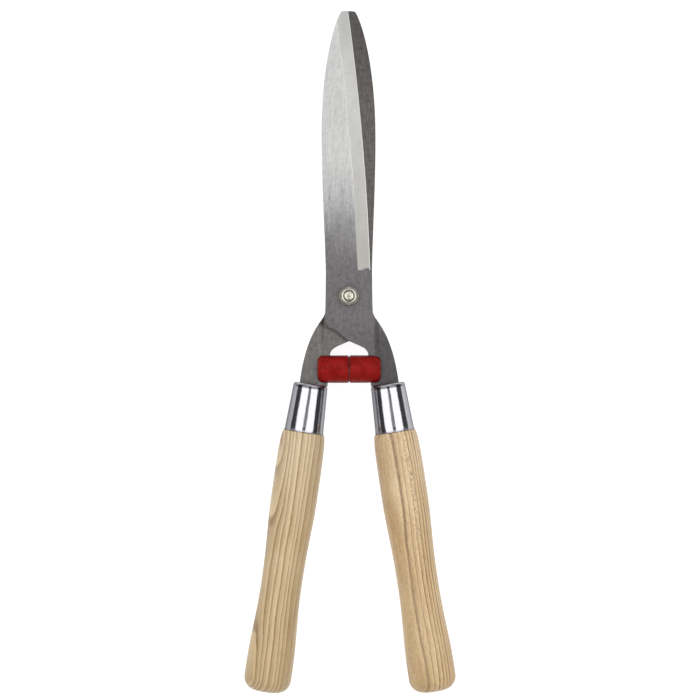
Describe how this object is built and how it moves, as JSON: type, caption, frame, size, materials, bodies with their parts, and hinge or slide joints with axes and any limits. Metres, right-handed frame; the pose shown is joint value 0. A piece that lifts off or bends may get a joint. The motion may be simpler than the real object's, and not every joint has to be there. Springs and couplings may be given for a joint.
{
  "type": "hedge shears",
  "caption": "Straight-bladed hedge shears with turned wooden handles, chromed ferrules, red stops and a bolted pivot.",
  "frame": {"origin": "bottom centre of the closed tool's bounding box, on the surface it lies on", "axes": "+Y along the blades towards the tips, +Z along the pivot bolt towards its nut, +X towards the handle of the upper blade"},
  "size_m": [0.169, 0.5452, 0.0376],
  "materials": {
    "blade_steel": "stamped plate, lengthwise brushed, with a ground bevel",
    "bolt_steel": "zinc plated",
    "insert_plastic": "moulded nylon",
    "buffer_rubber": "smooth red moulding",
    "ferrule_chrome": "bright plated",
    "handle_wood": "turned ash, thin clear varnish"
  },
  "bodies": {
    "lower_half": {"lower_blade": "blade_steel", "left_ferrule": "ferrule_chrome", "left_handle": "handle_wood", "left_buffer": "buffer_rubber", "pivot_bolt": "bolt_steel", "head_washer": "bolt_steel", "nut_washer": "bolt_steel", "lock_nut": "bolt_steel", "nut_insert": "insert_plastic"},
    "upper_half": {"upper_blade": "blade_steel", "right_ferrule": "ferrule_chrome", "right_handle": "handle_wood", "right_buffer": "buffer_rubber"}
  },
  "joints": [
    {"name": "blade_pivot", "type": "hinge", "parent": "lower_half", "child": "upper_half", "pos_m": [0, 0.0445, 0.0188], "axis": [0, 0, 1], "range_deg": [0, 80]}
  ]
}
